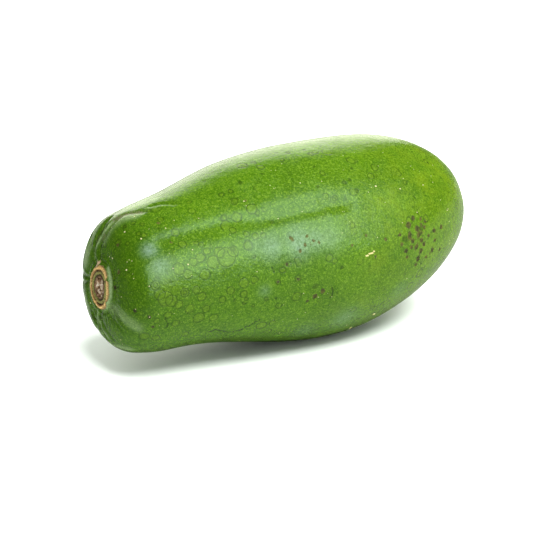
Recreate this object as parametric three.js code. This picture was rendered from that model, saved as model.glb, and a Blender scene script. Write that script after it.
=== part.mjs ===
// A whole green papaya, picked and lying on its side.
// Millimetres, +Z up. The stem end points to -X and the blossom end to +X.
// The fruit grew in one piece, so it is one closed solid: five soft lobes, a scar with a corky
// ring where the stalk broke off, a small nub at the blossom end, and the spot it rests on.
import * as THREE from "three";
import { ParametricGeometry } from "three/addons/geometries/ParametricGeometry.js";

// The long form. "Along" is 0 at the stem end and 1 at the blossom end.
const LENGTH = 270;
// Fullness is the radius as a share of LENGTH times the round outline 2 * sqrt(along * (1 - along)).
const FULLNESS = [
  [0, 0.418], [0.04, 0.3455], [0.1, 0.27], [0.2, 0.225], [0.35, 0.222],
  [0.52, 0.233], [0.7, 0.245], [0.86, 0.255], [1, 0.268],
];
// Height of the middle line, which sags under the neck and rises to the blossom end.
const MIDDLE_HEIGHT = [
  [0, -5.1], [0.14, -4], [0.35, 0], [0.6, -0.4], [0.82, 4.5], [1, 7.2],
];
const STEM_FACE_LEAN = THREE.MathUtils.degToRad(6); // the stem end's face looks up a little
const LEAN_REACH = 0.15;
const REST_DEPTH = 1.8; // how much of the underside is pressed flat where it lies

// Five lobes and the furrows between them. Angles run from the top, over the -Y side.
const LOBE_COUNT = 5;
const FIRST_FURROW = THREE.MathUtils.degToRad(-19);
const FURROW_SOFTNESS = 0.25;
const LOBE_MIDDLE = 0.68;
const LOBE_RELIEF = 0.0105; // share of the radius along the whole fruit
const LOBE_RELIEF_STEM = 0.008; // what the stem end adds to it
const LOBE_RELIEF_TIP = 0.02; // and what the blossom end adds
const STEM_REACH = 0.12;
const TIP_REACH = 0.09;
// Each lobe's own swelling at the shoulder and at the neck, as a share of the radius.
const SHOULDER_SWELLING = [0.002, 0, 0.027, -0.025, 0.014];
const SHOULDER_PLACE = 0.07;
const SHOULDER_REACH = 0.1;
const NECK_SWELLING = [0, 0, -0.032, 0, -0.003];
const NECK_PLACE = 0.26;
const NECK_REACH = 0.12;
// The folds that the furrows become close to the stem scar.
const FOLD_DEPTH = 1.5;
const FOLD_WIDTH = 0.17;
const FOLD_REACH = 0.05;

// The stem scar, as [distance from its middle, depth into the round end]: the hollow pith, the
// dried stalk round it, a dark gap, the corky ring, and the basin that the ring stands in.
const SCAR_PROFILE = [
  [0, 2.5], [2.5, 2], [5.2, 1.4], [7.4, 1.9], [8.7, 2.9], [9.9, 2.2],
  [11.6, 1.3], [13, 2.7], [14.6, 3.6], [18, 2.9], [24, 1.2], [32, 0],
];
const SCAR_OVAL = 0.06; // how far the ring is from a true circle
const LUMP_HEIGHT = 0.6; // the dried stalk stands up unevenly
const LUMP_RADIUS = 5.2;
const LUMP_WIDTH = 1.6;
// The dried stump of a sepal at the top of the ring.
const SEPAL_RADIUS = 14.6;
const SEPAL_HEIGHT = 1.8;
const SEPAL_SPREAD = 2.2;

// The blossom end: a low nub with a dimple where the flower dropped off.
const NUB_HEIGHT = 3;
const NUB_RADIUS = 11;
const DIMPLE_DEPTH = 1.4;
const DIMPLE_RADIUS = 2.6;

// The facets: fine rows over the scar, then even rows to the blossom end, closer at the furrows.
const COLUMNS = 70;
const SCAR_ROWS = 17;
const BODY_ROWS = 57;
const SCAR_EDGE = 18;
const FURROW_CROWDING = 0.4;

// Smooth curve through [place, value] points, with the slope at each point from its neighbours.
function curveThrough(points, at) {
  const slopeAt = (i) => {
    const before = points[Math.max(i - 1, 0)];
    const after = points[Math.min(i + 1, points.length - 1)];
    return (after[1] - before[1]) / (after[0] - before[0]);
  };
  let i = points.length - 2;
  while (i > 0 && at < points[i][0]) i -= 1;
  const step = points[i + 1][0] - points[i][0];
  const u = (at - points[i][0]) / step;
  const v = 1 - u;
  return (
    points[i][1] * (1 + 2 * u) * v * v +
    slopeAt(i) * step * u * v * v +
    points[i + 1][1] * u * u * (3 - 2 * u) -
    slopeAt(i + 1) * step * u * u * v
  );
}

const bell = (distance, width) => Math.exp(-((distance / width) ** 2));

// Radius of the fruit without its lobes.
function plainRadius(along) {
  const round = 2 * Math.sqrt(Math.max(along * (1 - along), 0));
  return LENGTH * round * curveThrough(FULLNESS, along);
}

// How much the lobe at an angle swells over the shoulder and the neck.
function ownSwelling(along, angle) {
  const turn = (angle - FIRST_FURROW) / (2 * Math.PI);
  const lobe = Math.floor((turn - Math.floor(turn)) * LOBE_COUNT) % LOBE_COUNT;
  return (
    SHOULDER_SWELLING[lobe] * bell(along - SHOULDER_PLACE, SHOULDER_REACH) +
    NECK_SWELLING[lobe] * bell(along - NECK_PLACE, NECK_REACH)
  );
}

// Radius at an angle: the lobes with their furrows, and the folds near the scar.
function lobedRadius(along, angle) {
  // 0 in each furrow and 1 on each lobe's crest.
  const crest = Math.abs(Math.sin((LOBE_COUNT * (angle - FIRST_FURROW)) / 2));
  const relief =
    LOBE_RELIEF +
    LOBE_RELIEF_STEM * Math.exp(-along / STEM_REACH) +
    LOBE_RELIEF_TIP * Math.exp(-(1 - along) / TIP_REACH);
  const lobe = Math.hypot(crest, FURROW_SOFTNESS) - LOBE_MIDDLE;
  const fold = FOLD_DEPTH * bell(crest, FOLD_WIDTH) * bell(along, FOLD_REACH);
  const radius = plainRadius(along);
  const outside = Math.min(1, radius / SCAR_EDGE); // the folds fade out inside the scar
  return radius * (1 + relief * lobe + ownSwelling(along, angle) * crest ** 2) - fold * outside;
}

// How far the stem scar lies inside the round end, at a distance from its middle.
function scarDepth(distance, angle) {
  const oval = 1 + SCAR_OVAL * Math.cos(2 * angle + 0.5) + 0.4 * SCAR_OVAL * Math.sin(3 * angle);
  const scarRadius = distance / oval;
  const edge = SCAR_PROFILE[SCAR_PROFILE.length - 1][0];
  const basin = scarRadius < edge ? curveThrough(SCAR_PROFILE, scarRadius) : 0;
  const lump = LUMP_HEIGHT * Math.sin(3 * angle + 1) * bell(scarRadius - LUMP_RADIUS, LUMP_WIDTH);
  const toSepal = Math.hypot(
    distance * Math.cos(angle) - SEPAL_RADIUS * Math.cos(FIRST_FURROW),
    distance * Math.sin(angle) - SEPAL_RADIUS * Math.sin(FIRST_FURROW),
  );
  const uneven = scarRadius > 0 ? lump : 0; // every facet meets at one point in the middle
  return basin - uneven - SEPAL_HEIGHT * bell(toSepal, SEPAL_SPREAD);
}

// How far the nub stands out of the round blossom end.
function nubHeight(distance) {
  return NUB_HEIGHT * bell(distance, NUB_RADIUS) - DIMPLE_DEPTH * bell(distance, DIMPLE_RADIUS);
}

// Place along the fruit for each row of facets, from the middle of the scar to the blossom end.
function alongForRow(row) {
  const scarShare = SCAR_EDGE / (2 * LENGTH * FULLNESS[0][1]);
  if (row <= SCAR_ROWS) return (scarShare * (row / SCAR_ROWS)) ** 2;
  const start = Math.asin(scarShare);
  const share = (row - SCAR_ROWS) / BODY_ROWS;
  return Math.sin(start + (Math.PI / 2 - start) * share) ** 2;
}

// A point of the skin: turn goes once round, share runs from the stem scar to the blossom end.
function skinPoint(turn, share, target) {
  const along = alongForRow(Math.round(share * (SCAR_ROWS + BODY_ROWS)));
  const even = 2 * Math.PI * turn;
  const crowded = even - (FURROW_CROWDING / LOBE_COUNT) * Math.sin(LOBE_COUNT * even);
  const angle = FIRST_FURROW + crowded;
  const radius = lobedRadius(along, angle);
  const up = radius * Math.cos(angle);
  const lean = STEM_FACE_LEAN * Math.exp(-along / LEAN_REACH) * up;
  const end = along < 0.5 ? scarDepth(radius, angle) : nubHeight(radius);
  target.set(
    (along - 0.5) * LENGTH + lean + end,
    -radius * Math.sin(angle),
    curveThrough(MIDDLE_HEIGHT, along) + up,
  );
}

// Presses the underside flat and stands it on Z = 0, with the Z axis through its middle.
function layDown(geometry) {
  geometry.computeBoundingBox();
  const box = geometry.boundingBox;
  const floor = box.min.z + REST_DEPTH;
  const position = geometry.getAttribute("position");
  for (let i = 0; i < position.count; i += 1) {
    position.setZ(i, Math.max(position.getZ(i), floor));
  }
  const middle = box.getCenter(new THREE.Vector3());
  geometry.translate(-middle.x, -middle.y, -floor);
  geometry.computeVertexNormals();
  return geometry;
}

function papaya() {
  const grid = new ParametricGeometry(skinPoint, COLUMNS, SCAR_ROWS + BODY_ROWS);
  const skin = new THREE.MeshStandardMaterial({ color: 0x4d8a22, roughness: 0.42, metalness: 0 });
  const fruit = new THREE.Mesh(layDown(grid), skin);
  fruit.name = "papaya_fruit";
  return fruit;
}

const model = new THREE.Group();
model.add(papaya());

export default model;
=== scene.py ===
"""A whole green papaya on a plain pale floor, in plain soft studio light.

The skin is one surface worked out from the same long form as the solid that it stands for, with the
creases, wrinkles, pits and stem scar that are too fine for the solid. Sizes of the form are in
millimetres, as in the solid's own source, and turn to metres when a mesh is made.
"""
import math

import bpy
import numpy as np
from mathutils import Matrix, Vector


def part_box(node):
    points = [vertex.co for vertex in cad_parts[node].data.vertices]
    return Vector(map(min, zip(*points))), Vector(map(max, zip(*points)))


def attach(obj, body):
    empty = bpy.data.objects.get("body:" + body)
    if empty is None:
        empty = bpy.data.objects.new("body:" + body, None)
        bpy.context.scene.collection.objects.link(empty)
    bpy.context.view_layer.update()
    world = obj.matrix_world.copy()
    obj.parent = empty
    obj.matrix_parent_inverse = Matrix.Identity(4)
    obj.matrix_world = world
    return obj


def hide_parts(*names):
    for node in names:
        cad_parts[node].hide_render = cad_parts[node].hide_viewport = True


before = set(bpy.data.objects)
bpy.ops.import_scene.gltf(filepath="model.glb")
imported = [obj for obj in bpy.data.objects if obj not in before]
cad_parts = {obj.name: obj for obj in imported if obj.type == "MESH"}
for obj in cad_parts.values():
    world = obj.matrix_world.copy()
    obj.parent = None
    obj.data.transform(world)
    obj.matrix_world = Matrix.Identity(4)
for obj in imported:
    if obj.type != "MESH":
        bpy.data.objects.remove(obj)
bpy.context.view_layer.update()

NODE = "papaya_fruit"
MM = 0.001

# The long form, with the same numbers as the solid. Along is 0 at the stem end and 1 at the other.
LENGTH = 270.0
FULLNESS = [
    (0, 0.418), (0.04, 0.3455), (0.1, 0.27), (0.2, 0.225), (0.35, 0.222),
    (0.52, 0.233), (0.7, 0.245), (0.86, 0.255), (1, 0.268),
]
MIDDLE_HEIGHT = [(0, -5.1), (0.14, -4), (0.35, 0), (0.6, -0.4), (0.82, 4.5), (1, 7.2)]
STEM_FACE_LEAN = math.radians(6)
LEAN_REACH = 0.15
REST_DEPTH = 1.8
LOBE_COUNT = 5
FIRST_FURROW = math.radians(-19)
FURROW_SOFTNESS = 0.25
LOBE_MIDDLE = 0.68
LOBE_RELIEF = 0.0105
LOBE_RELIEF_STEM = 0.008
LOBE_RELIEF_TIP = 0.02
STEM_REACH = 0.12
TIP_REACH = 0.09
SHOULDER_SWELLING = np.array([0.002, 0, 0.027, -0.025, 0.014])
SHOULDER_PLACE = 0.07
SHOULDER_REACH = 0.1
NECK_SWELLING = np.array([0, 0, -0.032, 0, -0.003])
NECK_PLACE = 0.26
NECK_REACH = 0.12
FOLD_DEPTH = 1.5
FOLD_WIDTH = 0.17
FOLD_REACH = 0.05
SCAR_EDGE = 18.0
NUB_HEIGHT = 3.0
NUB_RADIUS = 11.0
DIMPLE_DEPTH = 1.4
DIMPLE_RADIUS = 2.6

# The stem scar in finer steps than the solid's: distance from its middle, depth into the end.
SCAR_PROFILE = [
    (0, 2.6), (2.5, 2.0), (5.0, 1.5), (6.4, 1.9), (7.0, 3.0), (7.7, 2.1), (8.9, 2.1), (9.6, 3.6),
    (10.0, 1.8), (11.1, 1.2), (12.1, 1.7), (13.2, 3.1), (14.6, 3.5), (15.8, 2.9), (18, 2.9),
    (24, 1.2), (32, 0),
]
SCAR_OVAL = 0.06
STALK_RADIUS = 6.8
RING_RADIUS = 11.5
RING_TEETH = 58
SEPAL_RADIUS = 14.6
SEPAL_HEIGHT = 1.8
SEPAL_SPREAD = 2.2

# The camera, fitted to the fruit's outline in the photograph. Places are in the fruit's own frame.
PHOTO_SIZE = 533
CAMERA_AZIMUTH = math.radians(-33.6)
CAMERA_ELEVATION = math.radians(18)
CAMERA_DISTANCE = 1009.8
CAMERA_TARGET = np.array([-15.3, 0.25, 48.4])
FOCAL_PIXELS = 1600
SENSOR = 36.0
PIXEL_SIZE = 0.63  # millimetres of the fruit's skin to one pixel of the photograph
PATH_STEP = 1.5  # pixels between the points where a path is laid on the skin

RANDOM = np.random.default_rng(19)
LATTICE_SIZE = 32
FAR_FROM_SCAR = 99.0  # stored in place of the distance from the scar, past the fruit's middle


def curve_through(points, at):
    """Smooth curve through (place, value) points; each point's slope joins its two neighbours."""
    x, y = np.array(points, float).T
    inner = np.concatenate([[0], np.arange(len(x) - 2), [len(x) - 2]])
    outer = np.concatenate([[1], np.arange(2, len(x)), [len(x) - 1]])
    slope = (y[outer] - y[inner]) / (x[outer] - x[inner])
    i = np.clip(np.searchsorted(x, at, side="right") - 1, 0, len(x) - 2)
    step = x[i + 1] - x[i]
    u = (at - x[i]) / step
    v = 1 - u
    start = y[i] * (1 + 2 * u) * v * v + slope[i] * step * u * v * v
    return start + y[i + 1] * u * u * (3 - 2 * u) - slope[i + 1] * step * u * u * v


def bell(distance, width):
    """1 at no distance, falling off smoothly over the width."""
    return np.exp(-((distance / width) ** 2))


def soft_step(value, low, high):
    """0 below low, 1 above high, and an even S between them."""
    u = np.clip((value - low) / (high - low), 0, 1)
    return u * u * (3 - 2 * u)


def lumps(points, size, seed):
    """Random heights from -1 to 1 at the points, smooth over the size, from a seeded lattice."""
    lattice = np.random.default_rng(seed).uniform(-1, 1, (LATTICE_SIZE,) * 3)
    place = points / size
    cell = np.floor(place).astype(int)
    u = place - cell
    u = u * u * (3 - 2 * u)
    total = 0
    for corner in np.ndindex(2, 2, 2):
        weight = np.prod(np.where(np.array(corner) == 1, u, 1 - u), axis=-1)
        at = (cell + corner) % LATTICE_SIZE
        total = total + weight * lattice[at[..., 0], at[..., 1], at[..., 2]]
    return total


def plain_radius(along):
    """Radius without the lobes: fullness times the round outline of the whole length."""
    round_outline = 2 * np.sqrt(np.maximum(along * (1 - along), 0))
    return LENGTH * round_outline * curve_through(FULLNESS, along)


def crest(angle):
    """0 in each furrow and 1 on each lobe's crest."""
    return np.abs(np.sin(LOBE_COUNT * (angle - FIRST_FURROW) / 2))


def lobed_radius(along, angle):
    """Radius with the five lobes, their own swellings and the folds near the stem scar."""
    on_lobe = crest(angle)
    turn = np.mod((angle - FIRST_FURROW) / (2 * np.pi), 1)
    lobe = np.minimum((turn * LOBE_COUNT).astype(int), LOBE_COUNT - 1)
    relief = (LOBE_RELIEF + LOBE_RELIEF_STEM * np.exp(-along / STEM_REACH)
              + LOBE_RELIEF_TIP * np.exp(-(1 - along) / TIP_REACH))
    swelling = (SHOULDER_SWELLING[lobe] * bell(along - SHOULDER_PLACE, SHOULDER_REACH)
                + NECK_SWELLING[lobe] * bell(along - NECK_PLACE, NECK_REACH))
    shape = relief * (np.hypot(on_lobe, FURROW_SOFTNESS) - LOBE_MIDDLE) + swelling * on_lobe**2
    fold = FOLD_DEPTH * bell(on_lobe, FOLD_WIDTH) * bell(along, FOLD_REACH)
    radius = plain_radius(along)
    return radius * (1 + shape) - fold * np.minimum(1, radius / SCAR_EDGE)


def scar_radius(distance, angle):
    """Distance from the scar's middle, evened out so that the oval ring is a circle."""
    return distance / (1 + SCAR_OVAL * np.cos(2 * angle + 0.5)
                       + 0.4 * SCAR_OVAL * np.sin(3 * angle))


def sepal_mask(distance, angle):
    """1 on the dried stump of a sepal above the ring, falling off round it."""
    to_sepal = np.hypot(distance * np.cos(angle) - SEPAL_RADIUS * np.cos(FIRST_FURROW),
                        distance * np.sin(angle) - SEPAL_RADIUS * np.sin(FIRST_FURROW))
    return bell(to_sepal, SEPAL_SPREAD)


def scar_depth(distance, angle):
    """Depth of the stem scar: its profile, less the dried stump of a sepal over the ring."""
    at = scar_radius(distance, angle)
    edge = SCAR_PROFILE[-1][0]
    basin = np.where(at < edge, curve_through(SCAR_PROFILE, np.minimum(at, edge)), 0)
    return basin - SEPAL_HEIGHT * sepal_mask(distance, angle)


def nub_height(distance):
    """Height of the blossom end's nub, with the dimple where the flower dropped off."""
    return NUB_HEIGHT * bell(distance, NUB_RADIUS) - DIMPLE_DEPTH * bell(distance, DIMPLE_RADIUS)


def smooth_skin(along, angle):
    """Points of the skin without its fine relief, about the middle of the fruit's length."""
    radius = lobed_radius(along, angle)
    up = radius * np.cos(angle)
    lean = STEM_FACE_LEAN * np.exp(-along / LEAN_REACH) * up
    end = np.where(along < 0.5, scar_depth(radius, angle), nub_height(radius))
    x = (along - 0.5) * LENGTH + lean + end
    return np.stack([x, -radius * np.sin(angle), curve_through(MIDDLE_HEIGHT, along) + up], -1)


def outward(points):
    """Unit normals of a grid of points that closes on itself across, from its neighbours."""
    down = np.gradient(points, axis=0)
    across = np.roll(points, -1, axis=1) - np.roll(points, 1, axis=1)
    normal = np.cross(across, down)
    length = np.linalg.norm(normal, axis=-1, keepdims=True)
    normal = normal / np.maximum(length, 1e-9)
    normal[0], normal[-1] = (-1, 0, 0), (1, 0, 0)
    return normal


# The grid: close rows over the scar and shoulder, evenly spaced rows after them, and closer columns
# on the side that the photograph shows. The front angle runs from the top over the -Y side.
SCAR_ROWS = 46
SHOULDER_ROWS = 38
SHOULDER_EDGE = 48.0
BODY_ROWS = 244
COLUMNS = 300
FRONT_ANGLE = math.radians(69)
FRONT_CROWDING = 0.35
OUTLINE_STEPS = 2000


def grid_of_skin():
    """Along and angle for each point of the grid, both as (rows, columns).

    Near the stem, along is the square of radius / per_radius; the body's rows are the same
    distance apart over the skin. The angle is even - crowding * sin(even - front angle).
    """
    per_radius = 2 * LENGTH * FULLNESS[0][1]
    scar = np.linspace(0, SCAR_EDGE / per_radius, SCAR_ROWS, endpoint=False) ** 2
    shoulder = np.linspace(SCAR_EDGE, SHOULDER_EDGE, SHOULDER_ROWS, endpoint=False) / per_radius
    start = math.asin(SHOULDER_EDGE / per_radius)
    fine = np.sin(np.linspace(start, math.pi / 2, OUTLINE_STEPS)) ** 2
    outline = np.hypot(np.diff(fine * LENGTH), np.diff(plain_radius(fine)))
    travelled = np.concatenate([[0], np.cumsum(outline)])
    body = np.interp(np.linspace(0, travelled[-1], BODY_ROWS), travelled, fine)
    along = np.concatenate([scar, shoulder**2, body])
    even = np.linspace(0, 2 * np.pi, COLUMNS, endpoint=False)
    angle = even - FRONT_CROWDING * np.sin(even - FRONT_ANGLE)
    return np.meshgrid(along, angle, indexing="ij")


def camera_axes():
    """The camera's place in mm and its right, up and back directions."""
    back = np.array([math.sin(CAMERA_AZIMUTH) * math.cos(CAMERA_ELEVATION),
                     -math.cos(CAMERA_AZIMUTH) * math.cos(CAMERA_ELEVATION),
                     math.sin(CAMERA_ELEVATION)])
    right = np.array([math.cos(CAMERA_AZIMUTH), math.sin(CAMERA_AZIMUTH), 0])
    return CAMERA_TARGET + CAMERA_DISTANCE * back, right, np.cross(back, right), back


class Photo:
    """Finds the points of a grid that the camera sees at pixels of the photograph."""

    def __init__(self, points):
        eye, right, up, back = camera_axes()
        ray = points - eye
        ahead = -(ray @ back)
        self.x = PHOTO_SIZE / 2 + FOCAL_PIXELS * (ray @ right) / ahead
        self.y = PHOTO_SIZE / 2 - FOCAL_PIXELS * (ray @ up) / ahead
        self.facing = np.sum(ray * outward(points), -1) < 0
        self.points = points

    def under(self, x, y):
        """Row and column of the point seen nearest to a pixel."""
        miss = (self.x - x) ** 2 + (self.y - y) ** 2
        return np.unravel_index(np.where(self.facing, miss, np.inf).argmin(), miss.shape)

    def distance_to_path(self, path):
        """Distance in mm from each grid point to a path of pixels, laid over the skin."""
        path = np.array(path, float)
        run = np.concatenate([[0], np.cumsum(np.hypot(*np.diff(path, axis=0).T))])
        at = np.linspace(0, run[-1], max(2, int(run[-1] / PATH_STEP)))
        pixels = zip(np.interp(at, run, path[:, 0]), np.interp(at, run, path[:, 1]))
        line = np.array([self.points[self.under(x, y)] for x, y in pixels])
        nearest = np.full(self.x.shape, np.inf)
        for a, b in zip(line[:-1], line[1:]):
            along_line = (b - a) / max(float((b - a) @ (b - a)), 1e-9)
            share = np.clip((self.points - a) @ along_line, 0, 1)[..., None]
            away = np.linalg.norm(self.points - a - share * (b - a), axis=-1)
            nearest = np.minimum(nearest, away)
        return nearest


# Creases and soft grooves of the photograph: path in pixels, depth and width in mm.
CREASES = [
    ([(93, 251), (94, 243), (96, 239), (98, 234), (101, 228), (105, 222), (110, 217)], 1.5, 1.2),
    ([(100, 262), (98.5, 250), (101, 242), (104, 236.5), (107, 230), (112, 223), (117, 218),
      (125, 213.5), (133, 212), (142, 211)], 0.8, 1.7),
    ([(92, 313), (93.5, 319), (96, 324), (99, 329)], 1.3, 1.2),
    ([(101, 331), (102.5, 333), (105, 337), (107, 340), (110, 344)], 1.0, 0.8),
    ([(100.5, 310), (100.5, 316), (102.5, 323), (105, 329), (109, 335), (113, 341)], 0.6, 1.4),
    ([(106, 306), (110, 315), (116, 323), (124, 332)], 0.35, 1.5),
    ([(108, 303), (115, 308), (124, 316), (135, 324)], 0.3, 1.5),
    ([(150, 206), (158, 203.5), (166, 203), (175, 203)], 0.7, 1.2),
    ([(87, 252), (88.5, 242), (91, 234)], 0.7, 1.1),
]
GROOVES = [
    ([(160, 240), (175, 236), (200, 229), (230, 222), (260, 219.5), (295, 212), (330, 204),
      (345, 202)], 1.9, 5.2),
    ([(160, 214), (190, 204), (225, 196), (260, 188)], 0.4, 6.0),
    ([(170, 300), (200, 283), (240, 276), (290, 268), (340, 262)], 0.45, 8.0),
    ([(188, 345), (195, 320), (205, 300)], 0.5, 9.0),
]
# Creases on the sides that the photograph hides: furrow, degrees beside it, depth, width, reach.
HIDDEN_CREASES = [
    (2, -4, 0.7, 1.4, 34), (2, 8, 0.5, 1.7, 30), (3, -12, 0.8, 1.3, 40), (4, -6, 1.0, 1.3, 46),
    (4, 4, 0.7, 1.5, 38), (0, -22, 0.8, 1.3, 44),
]
CREASE_START = 15.0
WRINKLE_DEPTH = 0.22
WRINKLE_COUNT = 44
WRINKLE_START = 13.5
WRINKLE_END = 46.0
# Roughness of the open skin: each kind's height and how broad its lumps are, in mm.
SWELLS = (0.22, 24.0)
DENTS = (0.1, 9.0)
PORES = (0.035, 2.6)
SWELL_STRETCH = np.array([0.4, 1, 1])  # swells and dents are longer along the fruit
# Roughness of the dried stalk and the corky ring, given in the same way.
STALK_LUMPS = (0.9, 1.7)
STALK_GRIT = (0.4, 0.8)
RING_LUMPS = (0.2, 1.6)
RING_BREADTH = 1.4
TOOTH_HEIGHT = 0.22
TOOTH_WANDER = 2.0


def hidden_crease_depths(distance, angle):
    """Depth of the creases that run out from the stem scar beside the far furrows."""
    depth = np.zeros_like(distance)
    for furrow, beside, deep, wide, reach in HIDDEN_CREASES:
        wander = 2.5 * np.sin(distance / 7 + 2 * beside)
        middle = FIRST_FURROW + 2 * np.pi * furrow / LOBE_COUNT + np.radians(beside + wander)
        away = np.angle(np.exp(1j * (angle - middle))) * distance
        run = soft_step(distance, CREASE_START - 1, CREASE_START + 4)
        run = run * (1 - soft_step(distance, 0.55 * reach, reach))
        depth = np.maximum(depth, deep * run * bell(away, wide))
    return depth


def path_depths(photo, paths):
    """Depth of all the creases or grooves that follow paths of pixels."""
    depths = [deep * bell(photo.distance_to_path(path), wide) for path, deep, wide in paths]
    return np.max(depths, axis=0)


def wrinkle_depths(distance, angle, points):
    """Fine wrinkles that fan out from the ring: a wave round the scar, broken up at random."""
    run = soft_step(distance, WRINKLE_START, WRINKLE_START + 3)
    run = run * (1 - soft_step(distance, WRINKLE_START + 8, WRINKLE_END))
    wave = 0.5 + 0.5 * np.sin(WRINKLE_COUNT * angle + 4.5 * lumps(points, 9.0, 5))
    return WRINKLE_DEPTH * run * wave * (0.5 + 0.5 * lumps(points, 7.0, 6))


def rough(points, kind, seed):
    """Lumps of one kind from 0 to twice its height: height * (1 + lumps of its size)."""
    height, size = kind
    return height * (1 + lumps(points, size, seed))


def lay_down(points):
    """Stands the form on the floor, in line with the solid's blossom end, pressed flat below."""
    low, high = (np.array(corner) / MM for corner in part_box(NODE))
    form_low, form_high = points.reshape(-1, 3).min(0), points.reshape(-1, 3).max(0)
    shift = (low + high - form_low - form_high) / 2
    shift[0] = high[0] - form_high[0]
    shift[2] = low[2] - form_low[2] - REST_DEPTH
    laid = points + shift
    laid[..., 2] = np.maximum(laid[..., 2], low[2])
    return laid


class Skin:
    """The whole skin as a grid, kept so that marks and specks can be put on it."""

    def __init__(self):
        self.along, self.angle = grid_of_skin()
        self.distance = plain_radius(self.along)
        self.on_stem = self.along < 0.5
        from_scar = scar_radius(self.distance, self.angle)
        self.scar_at = np.where(self.on_stem, from_scar, FAR_FROM_SCAR)
        self.smooth = lay_down(smooth_skin(self.along, self.angle))
        self.photo = Photo(self.smooth)
        self.points = self.smooth - outward(self.smooth) * self.fine_relief()[..., None]
        self.points[..., 2] = np.maximum(self.points[..., 2], 0)
        self.points[0] = self.points[0].mean(0)
        self.points[-1] = self.points[-1].mean(0)
        self.normals = outward(self.points)

    def fine_relief(self):
        """Depth into the skin, never outwards, of all that the solid leaves out."""
        points = self.smooth
        outside = soft_step(self.scar_at, RING_RADIUS + 1.5, RING_RADIUS + 4)
        self.creases = outside * np.maximum(path_depths(self.photo, CREASES), np.where(
            self.on_stem, hidden_crease_depths(self.distance, self.angle), 0))
        wrinkles = np.where(self.on_stem, wrinkle_depths(self.distance, self.angle, points), 0)
        grooves = path_depths(self.photo, GROOVES)
        body = soft_step(self.scar_at, SCAR_EDGE, SCAR_EDGE + 10)
        stretched = points * SWELL_STRETCH
        swells = rough(stretched, SWELLS, 1) + rough(stretched, DENTS, 2)
        open_skin = body * (swells + rough(points, PORES, 3))
        in_stalk = 1 - soft_step(self.scar_at, STALK_RADIUS - 1, STALK_RADIUS)
        stalk = in_stalk * (rough(points, STALK_LUMPS, 7) + rough(points, STALK_GRIT, 8))
        wander = TOOTH_WANDER * lumps(points, 4.0, 10)
        teeth = 0.5 + 0.5 * np.sin(RING_TEETH * self.angle + wander)
        ring = bell(self.scar_at - RING_RADIUS, RING_BREADTH) * (
            rough(points, RING_LUMPS, 9) + TOOTH_HEIGHT * teeth)
        return self.creases + wrinkles + grooves + open_skin + stalk + ring

    def at_pixel(self, x, y):
        """The skin's point under a pixel, in mm."""
        return self.points[self.photo.under(x, y)]


def mesh_object(name, vertices, faces, smooth=True):
    """A new object at the origin, from vertices in metres and lists of their numbers as faces."""
    mesh = bpy.data.meshes.new(name)
    mesh.from_pydata(vertices, [], faces)
    mesh.polygons.foreach_set("use_smooth", np.full(len(mesh.polygons), smooth))
    mesh.update()
    thing = bpy.data.objects.new(name, mesh)
    bpy.context.scene.collection.objects.link(thing)
    return thing


def closed_grid(points):
    """Vertices and faces of a grid that closes across, with one point at each end."""
    rows, columns = points.shape[:2]
    vertices = np.concatenate([points[:1, 0], points[1:-1].reshape(-1, 3), points[-1:, 0]])
    ring = np.arange(columns)
    beside = (ring + 1) % columns
    row = 1 + np.arange(rows - 3)[:, None] * columns
    quads = np.stack([row + ring, row + beside, row + columns + beside, row + columns + ring], -1)
    tip = len(vertices) - 1
    last = tip - columns
    first_fan = np.stack([0 * ring, 1 + beside, 1 + ring], -1)
    last_fan = np.stack([0 * ring + tip, last + ring, last + beside], -1)
    return vertices, quads.reshape(-1, 4).tolist() + first_fan.tolist() + last_fan.tolist()


def add_values(thing, name, grid):
    """Stores a grid of numbers on the skin's points, for its material to read."""
    values = np.concatenate([grid[:1, 0], grid[1:-1].reshape(-1), grid[-1:, 0]])
    layer = thing.data.attributes.new(name, "FLOAT", "POINT")
    layer.data.foreach_set("value", values.astype(np.float32))


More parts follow.
